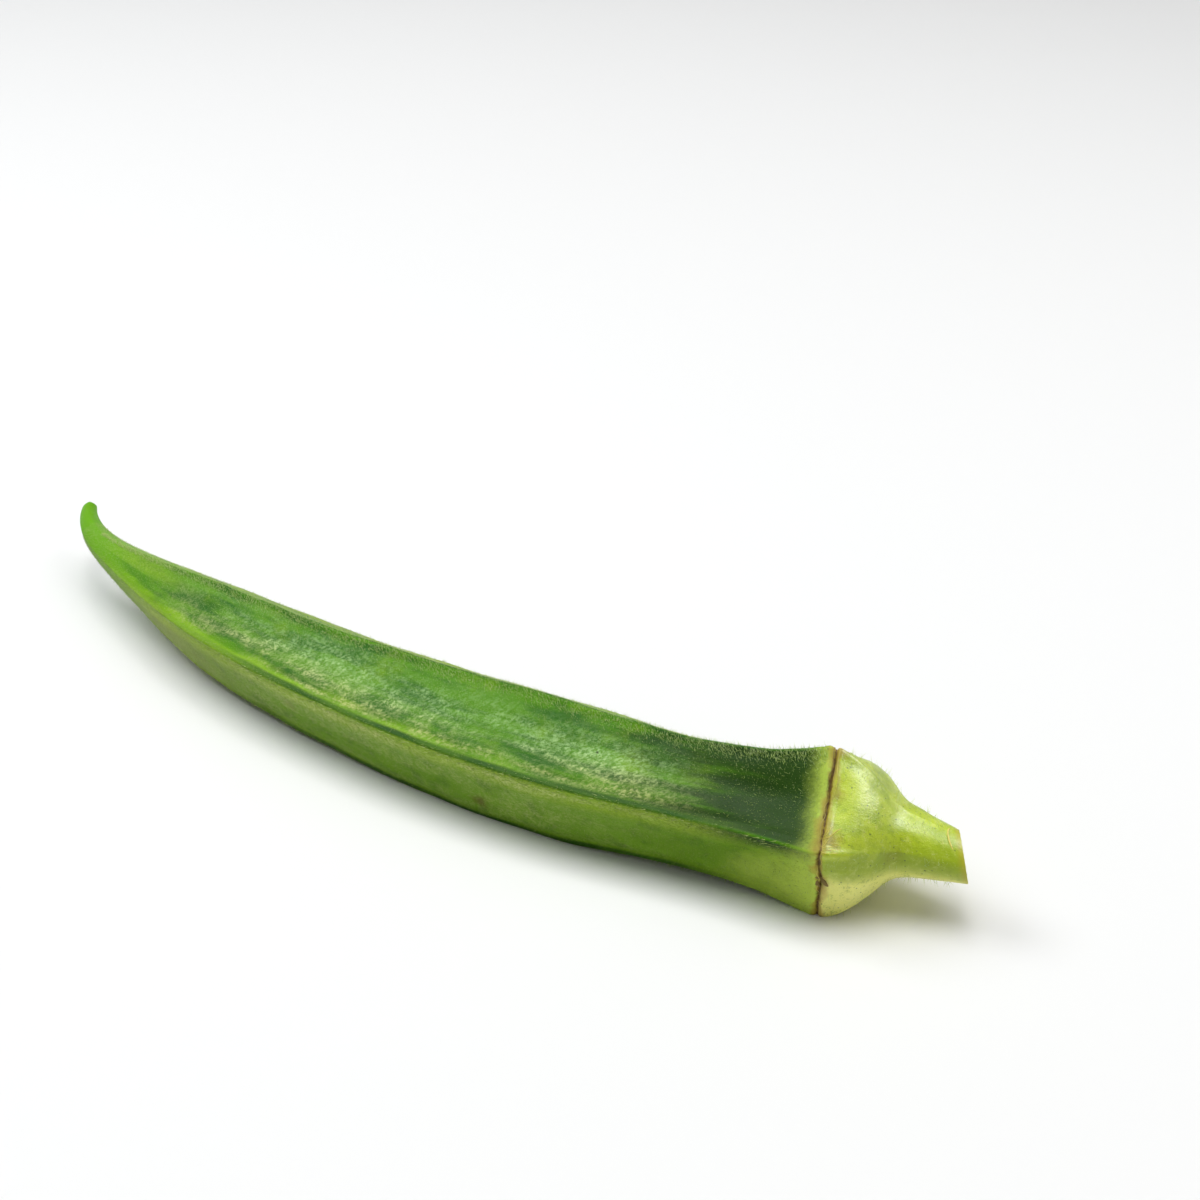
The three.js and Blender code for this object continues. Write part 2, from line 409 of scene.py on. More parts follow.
loose = random.Random(THREAD_SEED)
in_crack = [(-38, 60, -0.3), (-20, 45, 0.25), (-5, 36, -0.5), (28, 40, 0.2), (52, 34, -0.25), (84, 40, 0.15),
            (128, 60, -0.2), (200, 70, 0.2), (262, 50, -0.3)]
for first_turn, length, offset in in_crack:
    wander = [offset + loose.uniform(-0.22, 0.22) for _ in range(7)]
    turns = np.linspace(first_turn, first_turn + length, 7)
    strand(wander, turns, [0.0, 0.05, 0.03, 0.07, 0.02, 0.06, 0.0], loose.uniform(0.03, 0.055),
           loose.uniform(0.2, 0.8))
TUFT = 9
for _ in range(TUFT):
    turn, reach = loose.uniform(57, 71), loose.uniform(0.8, 2.4)
    bend = loose.uniform(-9, 9)
    turns = [turn, turn + 0.3 * bend, turn + bend, turn + 1.2 * bend]
    strand([0.1, -0.4 * reach, -0.8 * reach, -reach], turns, [-0.05, 0.12, 0.3, loose.uniform(0.1, 0.7)],
           0.024, loose.uniform(0.6, 1.0))
strand([0.5, -0.1, -0.6, -1.0], [101, 102, 104, 108], [-0.05, 0.08, 0.12, 0.3], 0.05, 0.15, flatness=6)
strand([0.3, 0.2, -0.1], [106, 112, 118], [-0.02, 0.06, 0.04], 0.05, 0.15, flatness=5)
strand([-13.2, -12.9, -12.8, -13.0, -13.3], [-14, 0, 16, 32, 46], [-0.02, 0.05, 0.12, 0.06, -0.02], 0.035,
       1.0, flatness=3)
threads = mesh_object("scar_threads", np.vstack(strand_points) + to_frame, strand_faces,
                      {"tone": np.concatenate(strand_tones)})
print("there are", len(strand_points), "threads and flakes")

# %% [markdown]
# ## Materials
#
# Each finish starts from what it is on the plant. A colour is written as the sRGB hex that a painter
# would pick, and one function turns it to the linear values that a shader wants. One more small function
# adds a node.

# %% Colour and node helpers


def linear(code):
    """Linear colour from an sRGB hex such as "6b9a2e"."""
    parts = [int(code[i:i + 2], 16) / 255 for i in (0, 2, 4)]
    return (*[p / 12.92 if p <= 0.04045 else ((p + 0.055) / 1.055) ** 2.4 for p in parts], 1.0)


def add(tree, kind, inputs=None, **settings):
    """Adds a shader node, sets it up and fills or links its inputs, named or numbered."""
    made = tree.nodes.new("ShaderNode" + kind)
    for key, value in settings.items():
        setattr(made, key, value)
    for key, value in (inputs or {}).items():
        if isinstance(value, bpy.types.NodeSocket):
            tree.links.new(value, made.inputs[key])
        else:
            made.inputs[key].default_value = value
    return made


def new_material(name):
    """An empty node material and its tree."""
    material = bpy.data.materials.new(name)
    material.use_nodes = True
    material.node_tree.nodes.clear()
    return material, material.node_tree


print("half grey, 808080, is", round(linear("808080")[0], 2), "in linear values")

# %% [markdown]
# ## The living skin
#
# Okra skin is a waxy cuticle over green cells, finely hairy. It gives the eye a satin green with long
# streaks, a whitish bloom of wax and down, yellower ridges and tip, and a pale, smoother cap. Light and
# shade are painted into it too: a sheen on the upper near face, a lit strip and a shaded groove along the
# ridges, shade in the hollow behind the shoulder, the board's bounce light on the lower faces and under the
# cap, and a dark reflection round the cap.
# It could be a painted image, but the rules are simple to say along the pod's own directions, so the
# paint is noise and distances: from the scar, from the nearest ridge and along the length. The IOR of a
# plant cuticle is about 1.45.

# %% The skin's measures: where each point lies on the straight pod, in mm
skin_material, tree = new_material("okra_cuticle")
straight = add(tree, "Attribute", attribute_name="straight").outputs["Vector"]
from_ridge = add(tree, "Attribute", attribute_name="from_ridge").outputs["Fac"]
beside = add(tree, "Attribute", attribute_name="beside").outputs["Fac"]
lower_side = add(tree, "Math", {0: beside}, operation="SIGN").outputs[0]
ridge = add(tree, "Math", {0: from_ridge, 1: lower_side}, operation="MULTIPLY").outputs[0]
scar = add(tree, "Attribute", attribute_name="scar").outputs["Fac"]
along = add(tree, "SeparateXYZ", {0: straight}).outputs["X"]
height = add(tree, "SeparateXYZ", {0: straight}).outputs["Z"]


def fade(value, start, end, strength=1.0, base=0.0):
    """The input values of a Map Range node that goes from base at start to strength at end."""
    return {"Value": value, "From Min": start, "From Max": end, "To Min": base, "To Max": strength}


SMOOTH = {"interpolation_type": "SMOOTHSTEP"}
print("the paint knows", len(skin.data.attributes), "values at each point of the skin")

# %% Streaks, mottling and grain
# The streaks follow the fibres under the skin. A skin cell is 0.05 mm and a hair's foot 0.1 mm across,
# too fine to show from here, so the grain is drawn as slanted flecks of 0.5 by 0.27 mm, about as large as
# a tuft of down.
STREAK_LENGTH, STREAK_WIDTH = 11.0, 1.6
MOTTLE_SIZE = 6.25
FINE_GRAIN_SIZE = 0.16
streaks_per_mm = (1 / STREAK_LENGTH, 1 / STREAK_WIDTH, 1 / STREAK_WIDTH)
long_way = add(tree, "VectorMath", {0: straight, 1: streaks_per_mm}, operation="MULTIPLY").outputs[0]
streaks = add(tree, "TexNoise", {"Vector": long_way, "Scale": 1.0, "Detail": 5.0,
                                 "Roughness": 0.6}).outputs[0]
mottle = add(tree, "TexNoise", {"Vector": straight, "Scale": 1 / MOTTLE_SIZE, "Detail": 5.0,
                                "Roughness": 0.6}).outputs[0]
GRAIN_LENGTH, GRAIN_WIDTH, GRAIN_LEAN = 0.5, 0.27, math.radians(38)
slanted = add(tree, "Mapping", {
    "Vector": straight, "Rotation": (0, 0, GRAIN_LEAN), "Scale": (GRAIN_LENGTH, GRAIN_WIDTH, GRAIN_WIDTH),
}, vector_type="TEXTURE").outputs[0]
grain = add(tree, "TexNoise", {"Vector": slanted, "Scale": 1.0, "Detail": 3.0, "Roughness": 0.7,
                               "Distortion": 0.6}).outputs[0]
fine_grain = add(tree, "TexNoise", {"Vector": straight, "Scale": 1 / FINE_GRAIN_SIZE,
                                    "Detail": 2.0}).outputs[0]
patchy = add(tree, "TexNoise", {"Vector": long_way, "Scale": 1.5, "Detail": 3.0}).outputs[0]
patches = add(tree, "MapRange", fade(patchy, 0.36, 0.6, base=0.35)).outputs[0]
print("a streak is about", STREAK_LENGTH, "by", STREAK_WIDTH, "mm")
print("a fleck is about", GRAIN_LENGTH, "by", GRAIN_WIDTH, "mm")

# %% Masks along and round the pod
# The pale shoulder reaches 8.5 mm along the lower faces and under 2 mm on top, with an edge that the
# grain frays.
to_tip = add(tree, "MapRange", fade(along, 88, 116), **SMOOTH).outputs[0]
shoulder_reach = add(tree, "MapRange", fade(height, -4.5, 3.5, 1.9, base=8.5)).outputs[0]
shoulder_share = add(tree, "Math", {0: along, 1: shoulder_reach}, operation="DIVIDE").outputs[0]
for noise_field, strength in ((grain, 0.9), (mottle, 1.6)):
    shoulder_share = add(tree, "Math", {0: noise_field, 1: strength, 2: shoulder_share},
                         operation="MULTIPLY_ADD").outputs[0]
to_shoulder = add(tree, "MapRange", fade(shoulder_share, 3.0, 0.9), **SMOOTH).outputs[0]
on_body = add(tree, "MapRange", fade(along, 5, 16), **SMOOTH).outputs[0]
on_cap = add(tree, "MapRange", fade(scar, 0.15, -0.15), **SMOOTH).outputs[0]
shaded = add(tree, "MapRange", fade(height, 2.4, -0.5, 0.85), **SMOOTH).outputs[0]
lit = add(tree, "Math", {0: 1.0, 1: shaded}, operation="SUBTRACT").outputs[0]
not_top = add(tree, "MapRange", fade(height, 5.5, 2.5), **SMOOTH).outputs[0]


def band(middle, start, end, strength, wander):
    """A stripe along every ridge: full within start mm of a wandering middle and gone at end mm."""
    away = add(tree, "Math", {0: patchy, 1: wander, 2: ridge}, operation="MULTIPLY_ADD").outputs[0]
    away = add(tree, "Math", {0: away, 1: middle + wander / 2}, operation="SUBTRACT").outputs[0]
    away = add(tree, "Math", {0: away}, operation="ABSOLUTE").outputs[0]
    stripe = add(tree, "MapRange", fade(away, end, start, strength), **SMOOTH).outputs[0]
    return add(tree, "Math", {0: stripe, 1: on_body}, operation="MULTIPLY").outputs[0]


print("the masks and noises take", len(tree.nodes), "nodes so far")

# %% Where the faces differ: streaks, mottling, painted shade in the hollow behind the shoulder, and the shaded side, painted for the board's light, with its smudges and down
streak_share = add(tree, "MapRange", fade(streaks, 0.36, 0.62), **SMOOTH).outputs[0]
mottle_share = add(tree, "MapRange", fade(mottle, 0.5, 0.75, 0.6), **SMOOTH).outputs[0]
# The hollow behind the shoulder is painted shade: a dark green that frays out along the pod.
HOLLOW_WANDER = 34.0
hollow_end = add(tree, "Math", {0: streaks, 1: HOLLOW_WANDER, 2: -HOLLOW_WANDER / 2},
                 operation="MULTIPLY_ADD").outputs[0]
hollow_end = add(tree, "Math", {0: along, 1: hollow_end}, operation="ADD").outputs[0]
hollow_shade = add(tree, "MapRange", fade(hollow_end, 26, 9), **SMOOTH).outputs[0]
in_face = add(tree, "MapRange", fade(from_ridge, 0.0, 0.35, 0.95), **SMOOTH).outputs[0]
hollow_shade = add(tree, "Math", {0: hollow_shade, 1: in_face}, operation="MULTIPLY").outputs[0]
downy = add(tree, "MapRange", fade(along, 66, 100, 0.7), **SMOOTH).outputs[0]
downy = add(tree, "Math", {0: downy, 1: shaded}, operation="MULTIPLY").outputs[0]
SMUDGES_PER_MM = 0.38
smudge = add(tree, "TexNoise", {"Vector": straight, "Scale": SMUDGES_PER_MM, "Detail": 4.0,
                                "Roughness": 0.6}).outputs[0]
smudges = add(tree, "MapRange", fade(smudge, 0.5, 0.66, 0.6), **SMOOTH).outputs[0]
smudges = add(tree, "Math", {0: smudges, 1: shaded}, operation="MULTIPLY").outputs[0]
print("a swelling of the green is", MOTTLE_SIZE, "mm wide and a smudge", round(1 / SMUDGES_PER_MM, 1), "mm")

# %% Where the ridges differ: a painted highlight strip above each seam, a pale crest below it and the dark seam, painted shade in its groove
strip_grows = add(tree, "MapRange", fade(along, 22, 54), **SMOOTH).outputs[0]
# The strip is a painted highlight: the lit side of the groove above each ridge.
highlight_strip = band(-0.7, 0.12, 0.85, 0.9, wander=1.2)
for share in (strip_grows, patches, lit):
    highlight_strip = add(tree, "Math", {0: highlight_strip, 1: share}, operation="MULTIPLY").outputs[0]
dashes = add(tree, "MapRange", fade(grain, 0.42, 0.66, base=0.45)).outputs[0]
pale_crest = band(0.9, 0.25, 1.9, 0.85, wander=0.8)
for share in (not_top, dashes):
    pale_crest = add(tree, "Math", {0: pale_crest, 1: share}, operation="MULTIPLY").outputs[0]
seam_grows = add(tree, "MapRange", fade(along, 92, 58), **SMOOTH).outputs[0]
crisp = add(tree, "MapRange", fade(patches, 0, 1, base=0.5)).outputs[0]
SEAM_HALF_WIDTH = 0.45
# The dark seam is painted shade, laid in the groove just above each ridge.
seam = band(-0.2, 0.12, SEAM_HALF_WIDTH, 1.0, wander=0.3)
for share in (seam_grows, crisp):
    seam = add(tree, "Math", {0: seam, 1: share}, operation="MULTIPLY").outputs[0]
print("the seam is at most", 2 * SEAM_HALF_WIDTH, "mm wide")

# %% Paint of the body, each green laid over the ones before it
deep_green, mid_green = linear("266200"), linear("528a00")
body = add(tree, "Mix", {0: streak_share, 6: deep_green, 7: mid_green}, data_type="RGBA").outputs[2]
layers = [
    (mottle_share, "7ea60a"),  # lighter swellings
    # painted shade in the hollow
    (hollow_shade, "1e3c00"),     # the hollow behind the shoulder
    # the lower faces: painted bounce light from the board, paler and more olive, with the haze of down
    (shaded, "6c960c"),        # the lower faces
    (smudges, "446c00"),
    (downy, "a6a468"),         # greyish down near the tip
    # painted highlight on the lit side of the groove
    (highlight_strip, "7cac00"),
    (pale_crest, "a8c434"),
    (to_tip, "64a200"),
    (to_shoulder, "bcd452"),
    # painted shade in the seam's groove
    (seam, "285400"),
]
for share, colour in layers:
    body = add(tree, "Mix", {0: share, 6: body, 7: linear(colour)}, data_type="RGBA").outputs[2]
print("the body is painted in", len(layers) + 2, "greens")

# %% Bloom and sheen: wax and flat down with a painted sheen of the light from above, thickest in drifts on the upper near face, and rubbed off the ridges
# A drift is 25 to 30 mm long and 4 mm wide, and a clump is 2 mm long. It is cooler on top, a painted
# reflection of the cool window light, and creamier further down, where the down is thick.
near_side = add(tree, "SeparateXYZ", {0: straight}).outputs["Y"]
below_top = add(tree, "MapRange", fade(height, 7.6, 5.4), **SMOOTH).outputs[0]
on_near = add(tree, "MapRange", fade(near_side, 0.0, 2.0), **SMOOTH).outputs[0]
on_top = add(tree, "Math", {0: below_top, 1: on_near}, operation="MULTIPLY").outputs[0]
on_top = add(tree, "Math", {0: on_top, 1: lit}, operation="MULTIPLY").outputs[0]
everywhere = add(tree, "Math", {0: on_top, 1: 0.3}, operation="ADD").outputs[0]
drift = add(tree, "TexNoise", {"Vector": long_way, "Scale": 0.4, "Detail": 3.0,
                               "Distortion": 0.8}).outputs[0]
drifts = add(tree, "MapRange", fade(drift, 0.3, 0.58), **SMOOTH).outputs[0]
clumps = add(tree, "TexNoise", {"Vector": slanted, "Scale": 0.28, "Detail": 2.0,
                                "Distortion": 0.4}).outputs[0]
clumps = add(tree, "MapRange", fade(clumps, 0.34, 0.62, base=0.3)).outputs[0]
flecks = add(tree, "MapRange", fade(grain, 0.43, 0.6, base=0.18)).outputs[0]
rising = add(tree, "MapRange", fade(along, 10, 28), **SMOOTH).outputs[0]
falling = add(tree, "MapRange", fade(along, 98, 66), **SMOOTH).outputs[0]
bare_ridge = add(tree, "MapRange", fade(from_ridge, 0.35, 1.1), **SMOOTH).outputs[0]
cream = add(tree, "MapRange", fade(height, 5.5, 3.2), **SMOOTH).outputs[0]
thicker = add(tree, "MapRange", fade(cream, 0, 1, 0.98, base=0.72)).outputs[0]
# Real wax and down, with a painted sheen of the light from above on the near upper face.
bloom_and_sheen = drifts
for share in (flecks, clumps, everywhere, rising, falling, bare_ridge, thicker):
    bloom_and_sheen = add(tree, "Math", {0: bloom_and_sheen, 1: share}, operation="MULTIPLY").outputs[0]
cool_sheen, warm_bloom = linear("b2d88e"), linear("ccd488")
bloom_sheen_tint = add(tree, "Mix", {0: cream, 6: cool_sheen, 7: warm_bloom}, data_type="RGBA").outputs[2]
body = add(tree, "Mix", {0: bloom_and_sheen, 6: body, 7: bloom_sheen_tint}, data_type="RGBA").outputs[2]
print("with its bloom, the body takes", len(tree.nodes), "nodes")

# %% Paint of the cap: bands and dapple, a painted dark reflection round its middle and painted bounce light underneath
# The bands are about 11 mm long and 2.4 mm wide, the dapple 0.9 mm.
cap_bands_per_mm = (0.09, 0.42, 0.42)
cap_way = add(tree, "VectorMath", {0: straight, 1: cap_bands_per_mm}, operation="MULTIPLY").outputs[0]
cap_bands = add(tree, "TexNoise", {"Vector": cap_way, "Scale": 1.0, "Detail": 2.0,
                                   "Distortion": 0.3}).outputs[0]
cap_band_share = add(tree, "MapRange", fade(cap_bands, 0.4, 0.62), **SMOOTH).outputs[0]
# The underside is painted paler, as bounce light from the board.
cap_bounce_light = add(tree, "MapRange", fade(height, 0.5, -2.5, 0.95), **SMOOTH).outputs[0]
# The belt is a painted reflection: a darker band round the cap's middle, where the horizon is reflected.
reflected_belt = add(tree, "MapRange", fade(height, 3.2, 1.0, 0.5), **SMOOTH).outputs[0]
belt_end = add(tree, "MapRange", fade(height, -2.2, -0.4), **SMOOTH).outputs[0]
reflected_belt = add(tree, "Math", {0: reflected_belt, 1: belt_end}, operation="MULTIPLY").outputs[0]
cap_dapple = add(tree, "TexNoise", {"Vector": straight, "Scale": 1.1, "Detail": 5.0,
                                    "Roughness": 0.8}).outputs[0]
cap_mottle = add(tree, "MapRange", fade(cap_dapple, 0.5, 0.72, 0.5), **SMOOTH).outputs[0]
cap_deep = add(tree, "MapRange", fade(cap_dapple, 0.48, 0.3, 0.7), **SMOOTH).outputs[0]
print("a band of the cap is about", round(1 / cap_bands_per_mm[0]), "mm long")

# %% Specks of the cap, one to a cell of 0.8 mm where a coarser noise lets them, and its yellowed cut edge
speck_cells = add(tree, "TexVoronoi", {"Vector": straight, "Scale": 1.25}).outputs["Distance"]
specks = add(tree, "MapRange", fade(speck_cells, 0.17, 0.08, 0.75), **SMOOTH).outputs[0]
some = add(tree, "TexNoise", {"Vector": straight, "Scale": 0.5}).outputs[0]
some = add(tree, "MapRange", fade(some, 0.4, 0.5), **SMOOTH).outputs[0]
specks = add(tree, "Math", {0: specks, 1: some}, operation="MULTIPLY").outputs[0]
at_cut = add(tree, "MapRange", fade(along, -13.4, -14.2, 0.45), **SMOOTH).outputs[0]
cap_green, cap_lime = linear("9cb400"), linear("b8cc1c")
cap = add(tree, "Mix", {0: cap_band_share, 6: cap_green, 7: cap_lime}, data_type="RGBA").outputs[2]
cap_layers = [
    # painted bounce light from the board under the cap
    (cap_bounce_light, "f4f486"),
    # painted dark reflection round the cap's middle
    (reflected_belt, "8ea600"),
    (cap_mottle, "dce27c"),
    (cap_deep, "86a008"),
    (specks, "3c5a18"),
    (at_cut, "c2aa34"),
]
for share, colour in cap_layers:
    cap = add(tree, "Mix", {0: share, 6: cap, 7: linear(colour)}, data_type="RGBA").outputs[2]
paint = add(tree, "Mix", {0: on_cap, 6: body, 7: cap}, data_type="RGBA").outputs[2]
print("the cap is painted in", len(cap_layers) + 2, "colours")

# %% Paint of the scar: a thin dark crack in a tan seam of cork, wide in some places and narrow in others
# The tears are 0.5 mm and the patches 3 mm wide.
scar_away = add(tree, "Math", {0: scar}, operation="ABSOLUTE").outputs[0]
ragged = add(tree, "TexNoise", {"Vector": straight, "Scale": 1.9, "Detail": 5.0,
                                "Roughness": 0.65}).outputs[0]
scar_edge = add(tree, "Math", {0: ragged, 1: 0.6, 2: scar_away}, operation="MULTIPLY_ADD").outputs[0]
scar_patch = add(tree, "TexNoise", {"Vector": straight, "Scale": 0.34, "Detail": 3.0}).outputs[0]
tan_reach = add(tree, "MapRange", fade(scar_patch, 0.35, 0.58, 1.9, base=0.4)).outputs[0]
tan_share = add(tree, "MapRange", fade(scar_edge, tan_reach, 0.3, 0.75), **SMOOTH).outputs[0]
crack_reach = add(tree, "MapRange", fade(scar_patch, 0.35, 0.6, 0.45, base=0.82)).outputs[0]
crack_share = add(tree, "MapRange", fade(scar_edge, crack_reach, 0.26, 0.9), **SMOOTH).outputs[0]
paint = add(tree, "Mix", {0: tan_share, 6: paint, 7: linear("a07c34")}, data_type="RGBA").outputs[2]
paint = add(tree, "Mix", {0: crack_share, 6: paint, 7: linear("4c2f10")}, data_type="RGBA").outputs[2]
print("with cap and scar, the paint takes", len(tree.nodes), "nodes")

# %% Blemishes: bruises and stains, each at a place on the straight pod with a reach in mm and a strength
# Their edges are frayed by swellings of 0.9 mm.
blemishes = [
    ((39.0, 5.8, -4.2), 1.6, 0.8, "5e5618"),
    ((66.4, 5.8, -1.1), 1.6, 0.4, "8c8a4c"),
    ((-0.9, 3.6, 6.6), 1.3, 0.55, "8f7a20"),
    ((-1.3, 7.9, 3.9), 1.5, 0.7, "9a8020"),
    ((-0.2, 7.4, -1.5), 0.8, 0.7, "6e4a18"),
    ((-0.7, 0.2, 9.7), 1.2, 0.5, "a08a34"),
    ((-7.5, 4.4, 0.7), 1.8, 0.4, "86861a"),
    ((25.4, 3.6, 5.4), 0.28, 0.9, "182408"),
    ((47.0, 4.6, 4.8), 0.2, 0.8, "24340c"),
    ((8.6, 6.4, -1.2), 0.25, 0.7, "2c3c10"),
]
uneven = add(tree, "TexNoise", {"Vector": straight, "Scale": 1.1, "Detail": 4.0}).outputs[0]
for spot, reach, strength, colour in blemishes:
    away = add(tree, "VectorMath", {0: straight, 1: spot}, operation="DISTANCE").outputs["Value"]
    away = add(tree, "Math", {0: uneven, 1: reach, 2: away}, operation="MULTIPLY_ADD").outputs[0]
    share = add(tree, "MapRange", fade(away, 1.5 * reach, 0.5 * reach, strength), **SMOOTH).outputs[0]
    paint = add(tree, "Mix", {0: share, 6: paint, 7: linear(colour)}, data_type="RGBA").outputs[2]
print("there are", len(blemishes), "blemishes")

# %% Roughness, grain as bump, and the shader
# Down scatters the light on the body, so it is rougher than the bare wax of the cap. Cork is rougher than
# both.
rough_body = add(tree, "MapRange", fade(grain, 0.3, 0.7, 0.4, base=0.6)).outputs[0]
rough_cap = add(tree, "MapRange", fade(fine_grain, 0.3, 0.7, 0.5, base=0.32)).outputs[0]
rough = add(tree, "Mix", {0: on_cap, 2: rough_body, 3: rough_cap}, data_type="FLOAT").outputs[0]
rough = add(tree, "Mix", {0: tan_share, 2: rough, 3: 0.85}, data_type="FLOAT").outputs[0]
both_grains = add(tree, "Mix", {0: 0.35, 2: grain, 3: fine_grain}, data_type="FLOAT").outputs[0]
GRAIN_HEIGHT = 0.08
calm = add(tree, "MapRange", fade(on_cap, 0, 1, 0.9, base=1.0)).outputs[0]
bump = add(tree, "Bump", {"Height": both_grains, "Strength": calm,
                          "Distance": GRAIN_HEIGHT * MM}).outputs[0]
waxy = add(tree, "Math", {0: on_cap, 1: 0.75}, operation="MULTIPLY").outputs[0]
cuticle = add(tree, "BsdfPrincipled", {
    "Base Color": paint, "Roughness": rough, "IOR": 1.45, "Specular IOR Level": 0.2, "Normal": bump,
    "Coat Weight": waxy, "Coat Roughness": 0.42, "Coat IOR": 1.45, "Coat Normal": bump,
    "Subsurface Weight": 0.12, "Subsurface Radius": (0.6, 1.0, 0.25), "Subsurface Scale": 1.2 * MM,
})
add(tree, "OutputMaterial", {0: cuticle.outputs[0]})
skin.data.materials.append(skin_material)
print("the skin's paint has", len(tree.nodes), "nodes")

# %% [markdown]
# ## The cut tissue
#
# Cut plant tissue is wet and pale. From outside in, the eye sees a cream line of skin, a green rind, a
# ring of dark vessel dots and a whitish, translucent pith. The rings are ranges of the share from centre
# to rim.

# %% The cut tissue
# A pith cell is under 0.1 mm wide, too fine to show, so the sponge is drawn 0.33 mm wide. The vessel
# dots stand 0.28 mm apart.
cut_material, tree = new_material("cut_stem_tissue")
share_in = add(tree, "Attribute", attribute_name="share").outputs["Fac"]
flat_in = add(tree, "Attribute", attribute_name="flat").outputs["Vector"]
cells = add(tree, "TexNoise", {"Vector": flat_in, "Scale": 3.0, "Detail": 4.0}).outputs[0]
wander = add(tree, "MapRange", fade(cells, 0.3, 0.7, 0.05, base=-0.05)).outputs[0]
ring_share = add(tree, "Math", {0: share_in, 1: wander}, operation="ADD").outputs[0]
rings_ramp = add(tree, "ValToRGB", {0: ring_share})
for stop, code in ((0.0, "e4ecd0"), (0.5, "d5e2b8"), (0.62, "b4cb84"), (0.7, "86a94a"), (0.8, "a9c86c"),
                   (0.93, "b9cf70"), (0.97, "e3e3a0")):
    element = rings_ramp.color_ramp.elements.new(stop)
    element.color = linear(code)
# A new ramp has a black stop at 0 and a white one at 1. They take the colours of the middle and the rim.
rings_ramp.color_ramp.elements[0].color = linear("e4ecd0")
rings_ramp.color_ramp.elements[-1].color = linear("d8d68c")
vessel_cells = add(tree, "TexVoronoi", {"Vector": flat_in, "Scale": 3.6}).outputs["Distance"]
vessel_dots = add(tree, "MapRange", fade(vessel_cells, 0.32, 0.15, 0.8), **SMOOTH).outputs[0]
vessel_away = add(tree, "Math", {0: share_in, 1: VESSEL_SHARE}, operation="SUBTRACT").outputs[0]
vessel_away = add(tree, "Math", {0: vessel_away}, operation="ABSOLUTE").outputs[0]
vessel_ring = add(tree, "MapRange", fade(vessel_away, 0.08, 0.03), **SMOOTH).outputs[0]
vessels = add(tree, "Math", {0: vessel_dots, 1: vessel_ring}, operation="MULTIPLY").outputs[0]
tissue_rings, vessel_green = rings_ramp.outputs[0], linear("4f6d25")
cut_paint = add(tree, "Mix", {0: vessels, 6: tissue_rings, 7: vessel_green}, data_type="RGBA").outputs[2]
wet = add(tree, "MapRange", fade(cells, 0.3, 0.7, 0.45, base=0.25)).outputs[0]
cut_bump = add(tree, "Bump", {"Height": cells, "Strength": 0.7, "Distance": 0.05 * MM}).outputs[0]
tissue = add(tree, "BsdfPrincipled", {
    "Base Color": cut_paint, "Roughness": wet, "IOR": 1.4, "Normal": cut_bump,
    "Subsurface Weight": 0.3, "Subsurface Radius": (1.0, 1.2, 0.6), "Subsurface Scale": 0.8 * MM,
})
add(tree, "OutputMaterial", {0: tissue.outputs[0]})
cut_face.data.materials.append(cut_material)
print("the cut tissue's paint has", len(tree.nodes), "nodes")

# %% [markdown]
# ## Hairs
#
# Okra is covered in short, stiff, glassy hairs: a fine fuzz all over, denser on the ridges, flat down on
# the shoulder and along the lower side of each ridge, and bristles up to a millimetre long on the cap.
# Blender's hair would be quick, but a part has to travel as mesh, so each hair is a slender three-sided
# cone rooted just under the skin. A real hair is 0.01 to 0.03 mm thick. These are 0.04 to 0.08 mm at the
# root, so that fewer of them show as well, and still thinner than a pixel, which gives the soft edge.

# %% Build the hairs
HAIR_SEED = 738
ROOT_DEPTH = 0.04
FLOOR_GAP = 0.01


def hairs(name, distances, angles, lengths, root_mm, tipward_lean, spread, seed, root_tone=0.0):
    """One mesh of three-sided cones rooted at places on the skin, paler at the root as its tone rises."""
    draw = np.random.default_rng(seed)
    root, _ = skin_point(distances, angles, lift=-ROOT_DEPTH)
    above, _ = skin_point(distances, angles, lift=1.0)
    outward = above - root
    outward /= np.linalg.norm(outward, axis=1)[:, None]
    _, tipward, _ = axis_frame(distances)
    direction = outward + tipward * tipward_lean[:, None] + draw.normal(0, spread, root.shape)
    direction /= np.linalg.norm(direction, axis=1)[:, None]
    sideways = np.cross(direction, draw.normal(0, 1, root.shape))
    sideways /= np.linalg.norm(sideways, axis=1)[:, None]
    third = np.cross(direction, sideways)
    corners = [root + root_mm * (math.cos(a) * sideways + math.sin(a) * third)
               for a in np.radians([0, 120, 240])]
    tips = root + direction * lengths[:, None]
    places = np.stack(corners + [tips], 1).reshape(-1, 3) + to_frame
    places[:, 2] = np.maximum(places[:, 2], FLOOR_GAP)
    first = 4 * np.arange(len(root))
    sides = ((0, 1, 3), (1, 2, 3), (2, 0, 3))
    faces = [tuple(start + corner for corner in side) for start in first.tolist() for side in sides]
    piece = mesh_object(name, places, faces, {"out": np.tile([root_tone] * 3 + [1.0], len(root))})
    print(name, "has", len(root), "hairs")
    return piece


# %% Fuzz on the body and on the ridges, thickest on the top ridge and longest near the shoulder
draw = np.random.default_rng(HAIR_SEED)
FUZZ, RIDGE_FUZZ, BRISTLES, FLAT_HAIRS, CREST_HAIRS = 60000, 9000, 460, 620, 620
fuzz = hairs("body_fuzz", draw.uniform(0.8, 116, FUZZ), draw.uniform(-180, 180, FUZZ),
             draw.uniform(0.1, 0.27, FUZZ), 0.022, np.full(FUZZ, 0.35), 0.35, 1)
on_top_ridge = draw.random(RIDGE_FUZZ) < 0.4
which_ridge = np.where(on_top_ridge, 0, draw.integers(0, RIDGES, RIDGE_FUZZ))
ridge_turns = which_ridge * SECTOR + draw.normal(4, 3, RIDGE_FUZZ)
ridge_places = draw.uniform(0.8, 112, RIDGE_FUZZ)
longer = 1 + 0.9 * np.exp(-ridge_places / 20)
